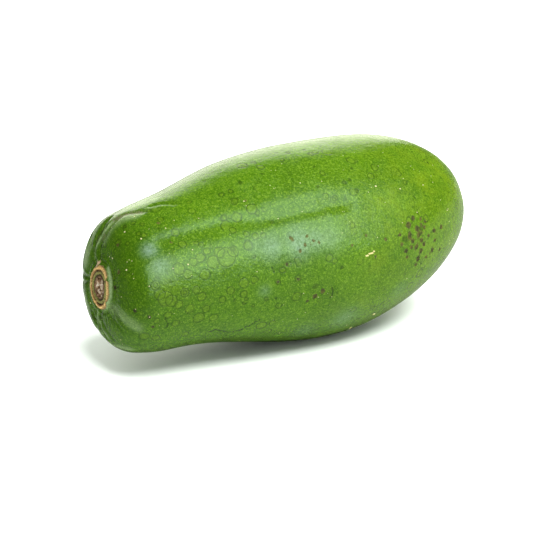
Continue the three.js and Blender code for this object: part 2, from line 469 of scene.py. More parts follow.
class Recipe:
    """Puts down the nodes of a material or group. An input takes a value or another's output."""

    def __init__(self, tree):
        self.tree = tree

    def put(self, kind, inputs=None, **settings):
        """One node, with its settings and its inputs by name or number."""
        node = self.tree.nodes.new(kind)
        for name, value in settings.items():
            setattr(node, name, value)
        for name, value in (inputs or {}).items():
            if isinstance(value, bpy.types.NodeSocket):
                self.tree.links.new(value, node.inputs[name])
            else:
                node.inputs[name].default_value = value
        return node

    def calc(self, operation, first, second=0.0, third=0.0, clamp=False):
        """One sum of two or three numbers."""
        inputs = {0: first, 1: second, 2: third}
        return self.put("ShaderNodeMath", inputs, operation=operation, use_clamp=clamp).outputs[0]

    def step(self, value, low, high, start=0.0, end=1.0):
        """Goes smoothly from start to end while the value goes from low to high."""
        inputs = {"Value": value, "From Min": low, "From Max": high, "To Min": start, "To Max": end}
        node = self.put("ShaderNodeMapRange", inputs, interpolation_type="SMOOTHSTEP")
        return node.outputs["Result"]

    def blend(self, share, first, second):
        """Two colours mixed by a share: 0 gives the first and 1 the second."""
        inputs = {0: share, 6: first, 7: second}
        return self.put("ShaderNodeMix", inputs, data_type="RGBA", blend_type="MIX").outputs[2]

    def noise(self, place, size, detail=2.0, roughness=0.5):
        """Cloudy noise of a size in mm."""
        inputs = {"Vector": place, "Scale": 1 / (size * MM), "Detail": detail,
                  "Roughness": roughness}
        return self.put("ShaderNodeTexNoise", inputs).outputs["Fac"]

    def value(self, name):
        """A number stored on the skin's points."""
        return self.put("ShaderNodeAttribute", attribute_name=name).outputs["Fac"]

    def ramp(self, value, stops):
        """A colour looked up along a row of (place, colour) stops."""
        node = self.put("ShaderNodeValToRGB", {"Fac": value})
        bar = node.color_ramp.elements
        while len(bar) < len(stops):
            bar.new(0.5)
        for mark, (place, shade) in zip(bar, stops):
            mark.position = place
            mark.color = (*shade, 1)
        return node.outputs["Color"]


def colour(red, green, blue):
    """A colour socket's value from three linear parts."""
    return (red, green, blue, 1)


def new_material(name):
    """An empty material, its recipe and its Principled shader, already joined to the output."""
    material = bpy.data.materials.new(name)
    material.use_nodes = True
    material.node_tree.nodes.clear()
    recipe = Recipe(material.node_tree)
    shader = recipe.put("ShaderNodeBsdfPrincipled")
    recipe.put("ShaderNodeOutputMaterial", {"Surface": shader.outputs[0]})
    return material, recipe, shader


def new_group(name, inputs, outputs):
    """A node group with named inputs and outputs; returns its tree, inputs' sockets and recipe."""
    tree = bpy.data.node_groups.new(name, "ShaderNodeTree")
    for socket, kind in inputs:
        tree.interface.new_socket(socket, in_out="INPUT", socket_type=kind)
    for socket, kind in outputs:
        tree.interface.new_socket(socket, in_out="OUTPUT", socket_type=kind)
    recipe = Recipe(tree)
    return tree, recipe.put("NodeGroupInput").outputs, recipe


NUMBER = "NodeSocketFloat"
VECTOR = "NodeSocketVector"


def near_line(recipe, distance, radius, width):
    """1 on a line at a radius, falling to 0 at its width to either side."""
    apart = recipe.calc("ABSOLUTE", recipe.calc("SUBTRACT", distance, radius))
    return recipe.calc("SUBTRACT", 1.0, recipe.calc("DIVIDE", apart, width), clamp=True)


def random_rings_group():
    """Scattered ring marks: each cell may hold one, a thin line at a random distance."""
    tree, given, recipe = new_group(
        "scattered ring marks",
        [("Place", VECTOR), ("Cells per metre", NUMBER), ("Share", NUMBER), ("Width", NUMBER)],
        [("Line", NUMBER), ("Inside", NUMBER)])
    cells = recipe.put("ShaderNodeTexVoronoi", {"Vector": given["Place"],
                                                "Scale": given["Cells per metre"]})
    parts = recipe.put("ShaderNodeSeparateColor", {"Color": cells.outputs["Color"]})
    radius = recipe.calc("MULTIPLY_ADD", parts.outputs["Red"], 0.26, 0.16)
    there = recipe.calc("LESS_THAN", parts.outputs["Green"], given["Share"])
    line = near_line(recipe, cells.outputs["Distance"], radius, given["Width"])
    inside = recipe.calc("LESS_THAN", cells.outputs["Distance"], radius)
    recipe.put("NodeGroupOutput", {"Line": recipe.calc("MULTIPLY", line, there),
                                   "Inside": recipe.calc("MULTIPLY", inside, there)})
    return tree


def ring_layers(skin, rings):
    """Distances in mm from the nearest ring's line, negative inside it, in layers without overlaps.

    In each layer the distance is the least of |point - middle| - radius over its rings.
    """
    layers = []
    for x, y, pixels in rings:
        middle, radius = skin.at_pixel(x, y), pixels * PIXEL_SIZE
        free = (layer for layer in layers if all(
            np.linalg.norm(middle - other) > radius + reach + RING_GAP for other, reach in layer))
        found = next(free, None)
        if found is None:
            found = []
            layers.append(found)
        found.append((middle, radius))
    apart = [[np.linalg.norm(skin.points - middle, axis=-1) - radius for middle, radius in layer]
             for layer in layers]
    return [np.minimum(np.min(layer, axis=0), FAR_FROM_MARK) for layer in apart]


def streak_grid(skin, streaks):
    """1 on streaks along paths of pixels, falling to 0 at each one's own width in mm."""
    shares = [1 - skin.photo.distance_to_path(path) / width for path, width in streaks]
    return np.maximum(np.max(shares, axis=0), 0)


# Ring marks that stand out in the photograph, as pixels across and down and their radius there.
RINGS = [
    (244, 283, 4.7), (154.5, 286, 4.2), (154.5, 286, 2.2), (185.6, 293, 4.2), (185.6, 293, 2.0),
    (179.3, 304.4, 4.0), (168.4, 315.2, 3.6), (176, 324, 3.8), (156.3, 338.2, 3.8), (144, 336, 4.6),
    (113, 277.5, 2.8), (127, 243, 2.0), (133.3, 221.5, 2.2), (141, 224, 2.0), (160.8, 218.3, 3.0),
    (176, 231, 3.6), (138, 233.6, 2.2), (143, 235.5, 2.6), (182.5, 244, 3.8), (157, 321, 3.0),
    (426, 218, 3.6), (352.5, 225, 3.0), (278, 283, 2.6), (289, 264, 2.4), (299, 279, 3.0),
    (179, 269, 5.5), (188, 275, 4.5), (227, 257, 9.0), (220, 252, 5.0), (233, 252, 5.0),
    (194, 262, 4.0), (201, 258, 4.5), (208, 251, 3.4), (214, 262, 6.0), (205, 275, 5.0),
    (165, 299, 7.0), (160, 295, 5.0), (171, 302, 5.5), (196, 290, 3.6), (203, 297, 4.2),
    (190, 309, 4.5), (199, 318, 5.5), (206, 309, 3.6), (213, 318, 4.2), (186, 335, 3.6),
    (222, 300, 3.2), (231, 291, 3.8), (247, 233, 2.8), (255, 236, 3.2), (263, 235, 2.6),
    (330, 258, 3.6), (336, 262, 2.8), (196, 243, 2.2), (202, 244, 2.4),
]
RING_WIDTH = 0.55
RING_GAP = 2.0
FAR_FROM_MARK = 4.0  # distances from rings and spots are stored up to this
# Thin streaks: path in pixels, and width in mm.
DARK_STREAKS = [
    ([(209, 333), (216, 330), (228, 333), (240, 331), (260, 320)], 1.0),
    ([(165, 318), (168, 324), (165, 329)], 0.8),
    ([(332, 287), (334, 291), (331, 297)], 1.1), ([(273, 268), (274, 272)], 1.1),
]
BROWN_STREAKS = [
    ([(410, 231), (409.5, 240)], 1.5), ([(418, 243), (416, 250)], 1.4),
    ([(420, 232), (418, 238)], 1.5), ([(422, 250), (418, 259)], 1.3),
    ([(433, 248), (430, 254)], 1.2),
]
PALE_STREAKS = [
    ([(367, 256), (370, 254.5), (374, 252)], 0.9), ([(375, 314.5), (373.6, 314.7)], 1.6),
    ([(350, 329), (351, 328)], 1.2),
]
# Brown spots, as pixels across and down and their radius there.
SPOTS = [
    (409, 225, 3.0), (414, 218, 2.2), (421, 219, 1.6), (410, 237.5, 2.6), (410, 234, 2.2),
    (406, 251, 2.0), (403, 244, 1.7), (400.5, 235, 1.7), (418, 229, 3.0), (420, 235, 2.6),
    (413, 242, 2.1), (412, 247, 1.6), (417, 246, 2.2), (421, 251, 2.6), (419, 259, 2.6),
    (416, 265, 1.7), (422, 241, 2.2), (424, 245, 2.2), (407, 258, 1.6), (435, 230, 2.2),
    (442, 227, 2.2), (436, 240, 1.7), (432, 250, 2.0), (440, 249, 1.6), (444, 259, 1.4),
    (425, 227, 1.3), (386, 240, 1.4), (426, 222, 1.3), (429, 236, 1.5), (427, 257, 1.6),
    (316, 297, 2.6), (324, 292, 2.3), (308, 302, 1.4), (118, 272, 1.9), (117, 245, 1.2),
    (171, 242, 1.1), (158, 223, 1.1), (134, 311, 1.3), (149, 317, 1.3), (154, 327, 1.2),
    (115, 288, 1.5), (288, 264, 1.3), (278, 283, 1.3), (299, 279, 1.2), (376, 256, 1.2),
    (291, 238, 1.4), (293, 240, 1.1), (307, 236, 1.3), (305, 245, 1.2), (314, 240, 1.2),
    (301, 251, 1.3), (320, 243, 1.1), (353, 246, 1.0), (367, 236, 1.0), (245, 201, 1.0),
]
# Soft patches: pixels across and down, radius in pixels, and how strong.
BRUISES = [
    (421, 231, 17, 0.33), (428, 247, 13, 0.3), (439, 234, 9, 0.3), (166, 277, 5, 0.28),
    (283, 235, 7, 0.3), (312, 243, 11, 0.3),
]
# Blooms are pale waxy patches of the skin, partly painted highlight where the softbox's reflection
# lies.
BLOOMS_AND_HIGHLIGHTS = [
    (345, 319, 15, 0.4), (305, 331, 12, 0.25), (400, 290, 10, 0.2),
    (300, 243, 15, 0.7), (272, 248, 12, 0.6), (316, 240, 12, 0.55), (149, 250, 7, 0.95),
    (160, 266, 9, 0.6), (258, 246, 10, 0.3), (330, 239, 14, 0.35), (265, 291, 6, 0.35),
]
YELLOWS = [
    (388, 208, 20, 0.7), (424, 184, 14, 0.6), (376, 262, 14, 0.4), (430, 158, 18, 0.6),
    (453, 184, 9, 0.9), (360, 300, 14, 0.35), (352, 226, 8, 0.5), (172, 283, 16, 0.3),
]


def patch_grid(skin, patches):
    """How strong a kind of patch is at each point: the strongest of its soft round patches."""
    total = np.zeros(skin.along.shape)
    for x, y, radius, strength in patches:
        apart = np.linalg.norm(skin.points - skin.at_pixel(x, y), axis=-1)
        total = np.maximum(total, strength * bell(apart, radius * PIXEL_SIZE))
    return total


def spot_grid(skin, spots):
    """Distance in mm from the nearest spot's edge, negative inside it."""
    apart = [np.linalg.norm(skin.points - skin.at_pixel(x, y), axis=-1) - radius * PIXEL_SIZE
             for x, y, radius in spots]
    return np.minimum(np.min(apart, axis=0), FAR_FROM_MARK)


# Colours of the green skin, with the sizes in mm of the clouds and grain that mix them.
DEEP_GREEN = colour(0.038, 0.093, 0.0025)
MID_GREEN = colour(0.05, 0.118, 0.003)
STEM_GREEN = colour(0.028, 0.074, 0.0015)
YELLOW_GREEN = colour(0.095, 0.155, 0.004)
FLECK_GREEN = colour(0.105, 0.195, 0.01)
SHADE_GREEN = colour(0.02, 0.058, 0.0015)
DARK_GRAIN = colour(0.018, 0.05, 0.0015)
PALE_GRAIN = colour(0.13, 0.22, 0.02)
CLOUD_SIZE = 38
PATCH_SIZE = 10
MOTTLE_SIZE = 1.6
GRAIN_SIZE = 0.8
# The small dots: how close they are, and what share of their places holds one.
DOTS_PER_METRE = 420.0
PALE_DOT = colour(0.13, 0.2, 0.02)
PALE_DOT_SHARE = 0.3
DARK_DOT = colour(0.012, 0.03, 0.002)
DARK_DOT_SHARE = 0.1
# The ring marks and other marks on the green.
SCATTERED_RINGS = [(170.0, 0.34, 0.11), (105.0, 0.3, 0.075)]  # cells per metre, share, line width
RING_LINE = colour(0.01, 0.026, 0.001)
RING_INSIDE = colour(0.11, 0.18, 0.01)
JITTERS_PER_METRE = 300.0
JITTER = 0.0022  # how far the jitter moves a scattered ring's outline, in metres
WAVER = 1.2  # how far noise moves a placed mark's edge, in mm
# Pale bluish green of the bloom, partly painted highlight.
BLOOM_AND_HIGHLIGHT_GREEN = colour(0.12, 0.19, 0.13)
SPOT_DARK = colour(0.014, 0.013, 0.001)
SPOT_BROWN = colour(0.055, 0.048, 0.005)
# Painted highlight on the ridges beside the creases.
RIDGE_HIGHLIGHT_GREEN = colour(0.27, 0.35, 0.18)
STREAK_CREAM = colour(0.5, 0.42, 0.2)
# Painted shade in the creases.
CREASE_PAINTED_SHADE = colour(0.03, 0.045, 0.008)
SCUFF_GREY = colour(0.12, 0.09, 0.07)
# The stem scar, from its middle outwards: distance in mm, and colour.
# The near-black stops at 7.0 and 9.4 mm lie in the deepest grooves of the scar's profile and are
# painted shade; the other stops are the cork's own colours.
SCAR_COLOURS = [
    (0.0, (0.06, 0.02, 0.01)), (2.4, (0.2, 0.1, 0.06)), (4.4, (0.42, 0.33, 0.25)),
    (6.0, (0.2, 0.1, 0.05)), (7.0, (0.012, 0.008, 0.004)), (7.7, (0.2, 0.19, 0.04)),
    (8.9, (0.27, 0.26, 0.07)), (9.4, (0.015, 0.01, 0.004)), (10.0, (0.3, 0.15, 0.05)),
    (10.7, (0.66, 0.41, 0.16)), (11.7, (0.5, 0.3, 0.11)), (12.4, (0.11, 0.07, 0.025)),
]
SCAR_SPAN = 20.0
SCAR_WOBBLE = 0.6
# The dried core of the stalk, by how high its noise is.
CORE_COLOURS = [
    (0.3, (0.03, 0.01, 0.005)), (0.44, (0.16, 0.07, 0.035)), (0.52, (0.34, 0.2, 0.12)),
    (0.62, (0.62, 0.5, 0.42)),
]
# Painted shade in the low parts of the cork's stripes.
CORK_STRIPE_SHADE = colour(0.09, 0.04, 0.015)
SEPAL_BROWN = colour(0.13, 0.08, 0.055)
SEPAL_TAN = colour(0.55, 0.38, 0.23)
# The wax on the skin.
WAX_ROUGHNESS = (0.13, 0.24)
WAX_IOR = 1.45
WAX_TINT = colour(0.78, 1.0, 0.72)
BUMP_STRENGTH = 0.42
BUMP_DISTANCE = 0.0005


def dotted(recipe, place, green):
    """Green with a small dot in some cells of a random lattice: pale ones and fewer dark ones."""
    cells = recipe.put("ShaderNodeTexVoronoi", {"Vector": place, "Scale": DOTS_PER_METRE})
    pick = recipe.put("ShaderNodeSeparateColor", {"Color": cells.outputs["Color"]})
    pale = recipe.calc("MULTIPLY", recipe.step(cells.outputs["Distance"], 0.22, 0.1),
                       recipe.calc("GREATER_THAN", pick.outputs["Red"], 1 - PALE_DOT_SHARE))
    green = recipe.blend(recipe.calc("MULTIPLY", pale, 0.5), green, PALE_DOT)
    dark = recipe.calc("MULTIPLY", recipe.step(cells.outputs["Distance"], 0.24, 0.12),
                       recipe.calc("LESS_THAN", pick.outputs["Green"], DARK_DOT_SHARE))
    return recipe.blend(recipe.calc("MULTIPLY", dark, 0.6), green, DARK_DOT)


def mottled_green(recipe, place, mottle, fine):
    """Green in broad clouds, deeper at the stem and yellower to the tip, with flecks and dots."""
    along = recipe.value("along")
    clouds = recipe.step(recipe.noise(place, CLOUD_SIZE, 2), 0.38, 0.68)
    green = recipe.blend(clouds, DEEP_GREEN, MID_GREEN)
    green = recipe.blend(recipe.step(along, 0.16, 0.03, 0, 0.7), green, STEM_GREEN)
    to_tip = recipe.step(along, 0.35, 1.0, 0, 0.75)
    patchy = recipe.step(recipe.noise(place, PATCH_SIZE, 3, 0.6), 0.3, 0.68, 0.25, 1.0)
    yellower = recipe.calc("MULTIPLY", recipe.calc("ADD", recipe.value("yellow"), to_tip), patchy,
                           clamp=True)
    green = recipe.blend(yellower, green, YELLOW_GREEN)
    flecks = recipe.calc("MULTIPLY", recipe.step(mottle, 0.5, 0.66, 0, 0.62),
                         recipe.step(along, 0.02, 0.14, 0.35, 1.0))
    green = recipe.blend(flecks, green, FLECK_GREEN)
    green = recipe.blend(recipe.step(mottle, 0.48, 0.36, 0, 0.45), green, SHADE_GREEN)
    green = recipe.blend(recipe.step(fine, 0.46, 0.36, 0, 0.5), green, DARK_GRAIN)
    green = recipe.blend(recipe.step(fine, 0.56, 0.68, 0, 0.5), green, PALE_GRAIN)
    return dotted(recipe, place, green)


def waver(recipe, place, size):
    """Noise that moves a mark's edge in or out by up to WAVER mm: 2 * WAVER * noise - WAVER."""
    return recipe.calc("MULTIPLY_ADD", recipe.noise(place, size, 3, 0.65), 2 * WAVER, -WAVER)


def scattered_rings(recipe, place):
    """Masks of the scattered ring marks' lines and insides, stronger where noise crowds them."""
    jitter = recipe.put("ShaderNodeTexNoise",
                        {"Vector": place, "Scale": JITTERS_PER_METRE, "Detail": 2.0})
    centred = recipe.put("ShaderNodeVectorMath", {0: jitter.outputs["Color"], 1: (0.5, 0.5, 0.5)},
                         operation="SUBTRACT").outputs[0]
    shaken = recipe.put("ShaderNodeVectorMath",
                        {0: centred, 1: (JITTER, JITTER, JITTER), 2: place},
                        operation="MULTIPLY_ADD").outputs[0]
    crowded = recipe.step(recipe.noise(place, 34, 1), 0.46, 0.6)
    everywhere = recipe.calc("MULTIPLY_ADD", crowded, 0.75, 0.25)
    tree = random_rings_group()
    layers = [recipe.put("ShaderNodeGroup",
                         {"Place": shaken, "Cells per metre": cells, "Share": share, "Width": width},
                         node_tree=tree).outputs for cells, share, width in SCATTERED_RINGS]
    return [recipe.calc("MULTIPLY", recipe.calc("MAXIMUM", *[rings[mask] for rings in layers]),
                        everywhere) for mask in ("Line", "Inside")]


def ring_marks(recipe, place, fine, ring_count):
    """Masks of all the ring marks' lines and insides, with the dark streaks among the lines.

    A placed ring's line is where its stored distance, moved by the waver, is near 0.
    """
    line, inside = scattered_rings(recipe, place)
    moved = waver(recipe, place, 1.7)
    for number in range(ring_count):
        away = recipe.calc("ADD", recipe.value("ring %d" % number), moved)
        line = recipe.calc("MAXIMUM", line, near_line(recipe, away, 0.0, RING_WIDTH))
        inside = recipe.calc("MAXIMUM", inside, recipe.calc("LESS_THAN", away, 0.0))
    line = recipe.calc("MULTIPLY", line, recipe.step(fine, 0.2, 0.45, 0.4, 1.0))
    streak = recipe.step(recipe.value("dark streak"), 0.2, 0.8)
    return recipe.calc("MAXIMUM", line, streak), inside


def brown_spots(recipe, place, fine):
    """Mask of the brown spots: ragged placed ones, streaks, and blotches where it is bruised."""
    streaks = recipe.calc("MULTIPLY", recipe.value("brown streak"), recipe.step(fine, 0.25, 0.5))
    blotches = recipe.calc("ADD", recipe.noise(place, 3.2, 3, 0.6), recipe.value("bruise"))
    spots = recipe.calc("MAXIMUM", recipe.step(blotches, 0.86, 0.96), streaks)
    edge = recipe.calc("ADD", recipe.value("spot"), waver(recipe, place, 1.6))
    return recipe.calc("MAXIMUM", spots, recipe.step(edge, 0.6, 0.0))


def marked_green(recipe, place, green, mottle, fine, spots):
    """Green under its bloom and painted highlights, brown spots, painted highlights on ridges, pale
    streaks, painted shade in creases, and scuffs.
    """
    # The bloom is partly painted highlight of the softbox.
    bloom_and_highlight = recipe.calc("MULTIPLY", recipe.value("bloom_and_highlight"), recipe.step(mottle, 0.35, 0.6, 0.4, 1.0))
    green = recipe.blend(bloom_and_highlight, green, BLOOM_AND_HIGHLIGHT_GREEN)
    brown = recipe.blend(recipe.step(recipe.noise(place, 2.4, 2), 0.35, 0.65), SPOT_DARK, SPOT_BROWN)
    green = recipe.blend(recipe.calc("MULTIPLY", spots, 0.95), green, brown)
    # Painted highlight along the ridges beside the creases.
    ridge_highlight = recipe.calc("MULTIPLY", recipe.value("pale"), recipe.step(fine, 0.3, 0.6, 0.6, 1.0))
    green = recipe.blend(ridge_highlight, green, RIDGE_HIGHLIGHT_GREEN)
    green = recipe.blend(recipe.step(recipe.value("pale streak"), 0.3, 0.7), green, STREAK_CREAM)
    # Painted shade in the creases, deeper where they are deeper.
    crease_shade = recipe.step(recipe.value("crease_shade"), 0.5, 1.5, 0, 0.55)
    green = recipe.blend(crease_shade, green, CREASE_PAINTED_SHADE)
    scuff = recipe.calc("MULTIPLY", recipe.value("scuff"), recipe.step(fine, 0.35, 0.6))
    return recipe.blend(scuff, green, SCUFF_GREY)


def scar_cork(recipe, place, striped):
    """The stem scar's mask and its colours, by a distance from its middle moved by noise, with
    painted shade in its grooves and in the low parts of its stripes.
    """
    inner = recipe.calc("SUBTRACT", recipe.value("scar_at"), SCAR_WOBBLE)
    at = recipe.calc("MULTIPLY_ADD", recipe.noise(place, 1.5, 3), 2 * SCAR_WOBBLE, inner)
    cork = recipe.ramp(recipe.calc("DIVIDE", at, SCAR_SPAN),
                       [(distance / SCAR_SPAN, shade) for distance, shade in SCAR_COLOURS])
    core = recipe.ramp(recipe.noise(place, 2.1, 2, 0.6), CORE_COLOURS)
    cork = recipe.blend(recipe.step(at, 6.6, 5.8), cork, core)
    # Painted shade where the stripes sink.
    cork = recipe.blend(recipe.step(striped, 0.52, 0.4, 0, 0.7), cork, CORK_STRIPE_SHADE)
    return recipe.step(at, 12.7, 12.2), cork


def skin_bump(recipe, place, line, spots, dry, striped):
    """Normals from grain and ripples, with lines and spots sunk in and the dry parts striped."""
    ripple = recipe.noise(place, 4.5, 2, 0.55)
    grain = recipe.calc("MULTIPLY_ADD", ripple, 1.6, recipe.noise(place, 1.2, 3, 0.6))
    height = recipe.calc("MULTIPLY_ADD", grain, 0.8, recipe.calc("MULTIPLY", line, -0.3))
    height = recipe.calc("MULTIPLY_ADD", spots, -0.3, height)
    height = recipe.calc("MULTIPLY_ADD", striped, recipe.calc("MULTIPLY", dry, 1.2), height)
    return recipe.put("ShaderNodeBump", {"Height": height, "Strength": BUMP_STRENGTH,
                                         "Distance": BUMP_DISTANCE}).outputs["Normal"]


def skin_material(ring_count):
    """Waxy green skin with mottling, ring marks, spots and bruises, and the corky stem scar."""
    material, recipe, shader = new_material("papaya skin")
    place = recipe.put("ShaderNodeTexCoord").outputs["Object"]
    mottle = recipe.noise(place, MOTTLE_SIZE, 3, 0.65)
    fine = recipe.noise(place, GRAIN_SIZE, 2, 0.6)
    green = mottled_green(recipe, place, mottle, fine)
    line, inside = ring_marks(recipe, place, fine, ring_count)
    green = recipe.blend(recipe.calc("MULTIPLY", inside, 0.22), green, RING_INSIDE)
    green = recipe.blend(recipe.calc("MULTIPLY", line, 0.78), green, RING_LINE)
    spots = brown_spots(recipe, place, fine)
    green = marked_green(recipe, place, green, mottle, fine, spots)

    striped = recipe.noise(place, 0.7, 2, 0.6)
    in_scar, cork = scar_cork(recipe, place, striped)
    sepal = recipe.value("sepal")
    dried = recipe.blend(recipe.noise(place, 2.0, 2), SEPAL_BROWN, SEPAL_TAN)
    surface = recipe.blend(recipe.step(sepal, 0.3, 0.6), recipe.blend(in_scar, green, cork), dried)
    recipe.tree.links.new(surface, shader.inputs["Base Color"])

    dry = recipe.calc("MAXIMUM", in_scar, sepal)
    wax = recipe.step(recipe.noise(place, 9, 3, 0.6), 0.35, 0.7, *WAX_ROUGHNESS)
    matt = recipe.calc("MULTIPLY_ADD", spots, 0.4, recipe.calc("MULTIPLY_ADD", dry, 0.45, wax))
    recipe.tree.links.new(matt, shader.inputs["Roughness"])
    shader.inputs["IOR"].default_value = WAX_IOR
    shader.inputs["Specular Tint"].default_value = WAX_TINT
    normal = skin_bump(recipe, place, line, spots, dry, striped)
    recipe.tree.links.new(normal, shader.inputs["Normal"])
    return material


# Painted highlights on the waxy ridges beside the creases, and grey scuffs: path in pixels,
# strength, width in mm.
RIDGE_HIGHLIGHTS = [
    ([(85.5, 262), (87, 248), (93, 232), (103, 218), (112, 212.5), (130, 205), (150, 196)],
     0.55, 3.2),
    ([(104, 240), (112, 226), (122, 219), (136, 215)], 0.3, 2.6),
    ([(84, 296), (89, 318), (99, 337), (114, 347), (130, 350)], 0.45, 2.4),
    ([(108, 304), (116, 312), (126, 320), (137, 328)], 0.32, 3.4),
    ([(108, 268), (111, 282), (110.5, 296), (106, 308)], 0.75, 1.1),
    ([(94.5, 257), (94, 249), (97, 243), (101, 236.5), (104, 231), (108, 225), (112, 221)],
     0.6, 1.1),
    ([(88, 256), (89.5, 247), (92, 239), (96, 230), (101, 222)], 0.45, 1.2),
    ([(112, 217), (120, 211), (130, 207), (142, 203), (156, 198)], 0.4, 2.0),
    ([(109.5, 270), (110.5, 282), (110.3, 295), (107.5, 304), (104, 310)], 0.55, 0.9),
    ([(97.5, 310), (97.5, 317), (99, 323), (101.5, 330), (105, 335), (109, 341)], 0.5, 0.9),
    ([(101, 333), (104, 339), (107, 342)], 0.4, 0.7),
]
SCUFFS = [
    ([(101, 240), (103.5, 234)], 0.7, 1.0),
    ([(114, 219), (120, 215.5), (126, 212.5), (133, 211.5), (141, 211)], 0.75, 1.6),
    ([(95, 241), (96.5, 236)], 0.5, 0.8), ([(104, 219), (108, 217)], 0.6, 0.8),
]


def make_skin(skin):
    """The skin as a piece: it stands for the solid and rides with it."""
    vertices, faces = closed_grid(skin.points * MM)
    piece = mesh_object("papaya_skin", vertices, faces)
    add_values(piece, "along", skin.along)
    add_values(piece, "scar_at", skin.scar_at)
    # Depth of the creases, which the material darkens as painted shade.
    add_values(piece, "crease_shade", skin.creases)
    add_values(piece, "sepal", np.where(skin.on_stem, sepal_mask(skin.distance, skin.angle), 0))
    # Where the ridges beside the creases get painted highlight.
    add_values(piece, "pale", path_depths(skin.photo, RIDGE_HIGHLIGHTS))
    add_values(piece, "scuff", path_depths(skin.photo, SCUFFS))
    add_values(piece, "bruise", patch_grid(skin, BRUISES))
    # Where the bloom and its painted highlight lie.
    add_values(piece, "bloom_and_highlight", patch_grid(skin, BLOOMS_AND_HIGHLIGHTS))
    add_values(piece, "yellow", patch_grid(skin, YELLOWS))
    add_values(piece, "dark streak", streak_grid(skin, DARK_STREAKS))
    add_values(piece, "brown streak", streak_grid(skin, BROWN_STREAKS))
    add_values(piece, "pale streak", streak_grid(skin, PALE_STREAKS))
    add_values(piece, "spot", spot_grid(skin, SPOTS))
    rings = ring_layers(skin, RINGS)
    for number, distances in enumerate(rings):
        add_values(piece, "ring %d" % number, distances)
    piece.data.materials.append(skin_material(len(rings)))
    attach(piece, "root")
    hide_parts(NODE)
    return piece


# Cream specks of the photograph: pixels across and down, radius in pixels.
SPECKS = [
    (124, 232, 1.1), (141, 238, 1.0), (112, 258.5, 1.2), (126, 270, 1.3), (189, 264, 1.0),
    (193, 250, 0.7), (165, 228, 0.7), (376.5, 186, 1.2), (400, 189, 0.9), (424, 184, 0.9),
    (448, 210, 0.9), (417, 212, 0.8), (133, 279, 0.6), (149, 317, 0.7), (90.5, 303, 0.9),
    (374, 314.5, 1.4), (350, 329, 0.8), (134, 215.5, 0.7), (199, 217, 0.6), (121, 297, 0.6),
    (243.5, 201, 0.9), (301, 183, 0.7), (109, 257, 0.6), (303, 210, 0.6), (280, 217, 0.6),
]
SPECK_COUNT = 180
SPECK_SIDES = 8
SPECK_LAYERS = np.array([[0, -0.3], [1, -0.1], [0.75, 0.1], [0, 0.16]])  # radius share, height
SPECK_RADII = (0.14, 0.4)
SPECK_OVAL = 0.8
SPECK_CLEAR_OF_SCAR = 12
SPECK_CLEAR_OF_FLOOR = 12
SPECK_LAST_ALONG = 0.97
SPECK_STEEPEST = 0.97  # no scattered speck where the skin faces straight up or sideways
SPECK_TWIST = (0.3, 0.2, 0.93)  # sets which way a speck's longer side lies
SPECK_TAN = colour(0.3, 0.26, 0.1)
SPECK_CREAM = colour(0.6, 0.54, 0.33)


def speck_places(skin):
    """Rows and columns of the specks, and their radii: the placed ones, then the scattered."""
    placed = np.array([skin.photo.under(x, y) for x, y, radius in SPECKS])
    loose = np.argwhere((skin.scar_at > SCAR_EDGE + SPECK_CLEAR_OF_SCAR)
                        & (skin.along < SPECK_LAST_ALONG)
                        & (skin.points[..., 2] > SPECK_CLEAR_OF_FLOOR)
                        & (np.abs(skin.normals[..., 1]) < SPECK_STEEPEST)
                        & (skin.normals[..., 2] < SPECK_STEEPEST))
    picked = loose[RANDOM.choice(len(loose), SPECK_COUNT, replace=False)]
    sizes = np.concatenate([[radius * PIXEL_SIZE for x, y, radius in SPECKS],
                            RANDOM.uniform(*SPECK_RADII, SPECK_COUNT)])
    return tuple(np.concatenate([placed, picked]).T), sizes


def speck_vertices(skin, places, sizes):
    """Points of each bead, as middle + radius * (cos * side + sin * other) + lift * normal."""
    middle, normal = skin.points[places], skin.normals[places]
    side = np.cross(normal, SPECK_TWIST)
    side /= np.linalg.norm(side, axis=-1, keepdims=True)
    other = SPECK_OVAL * np.cross(normal, side)
    turn = np.linspace(0, 2 * np.pi, SPECK_SIDES, endpoint=False)[None, :, None]
    circle = np.cos(turn) * side[:, None] + np.sin(turn) * other[:, None]
    share = SPECK_LAYERS[:, 0][None, :, None, None] * sizes[:, None, None, None]
    lift = SPECK_LAYERS[:, 1][None, :, None, None]
    layers = middle[:, None, None] + share * circle[:, None] + lift * normal[:, None, None]
    parts = [layers[:, 0, :1], layers[:, 1], layers[:, 2], layers[:, 3, :1]]
    return np.concatenate(parts, axis=1)


def speck_faces(count):
    """Triangles of the beads: a fan below, a band between two rings, and a fan on top."""
    near, far, top = 1, 1 + SPECK_SIDES, 1 + 2 * SPECK_SIDES
    ring = np.arange(SPECK_SIDES)
    beside = (ring + 1) % SPECK_SIDES
    bead = np.concatenate([
        np.stack([0 * ring, near + beside, near + ring], -1),
        np.stack([near + ring, near + beside, far + beside], -1),
        np.stack([near + ring, far + beside, far + ring], -1),
        np.stack([far + ring, far + beside, 0 * ring + top], -1)])
    return np.arange(count)[:, None, None] * (top + 1) + bead


def speck_material():
    """Cream to tan, matt."""
    material, recipe, shader = new_material("cream specks")
    place = recipe.put("ShaderNodeTexCoord").outputs["Object"]
    cream = recipe.blend(recipe.noise(place, 2.5, 2), SPECK_TAN, SPECK_CREAM)
    recipe.tree.links.new(cream, shader.inputs["Base Color"])
    shader.inputs["Roughness"].default_value = 0.6
    return material


def make_specks(skin):
    """Cream specks: small flat beads set into the skin."""
    places, sizes = speck_places(skin)
    vertices = speck_vertices(skin, places, sizes).reshape(-1, 3) * MM
    faces = speck_faces(len(sizes)).reshape(-1, 3).tolist()
    piece = mesh_object("cream_specks", vertices, faces)
    piece.data.materials.append(speck_material())
    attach(piece, "root")
    return piece


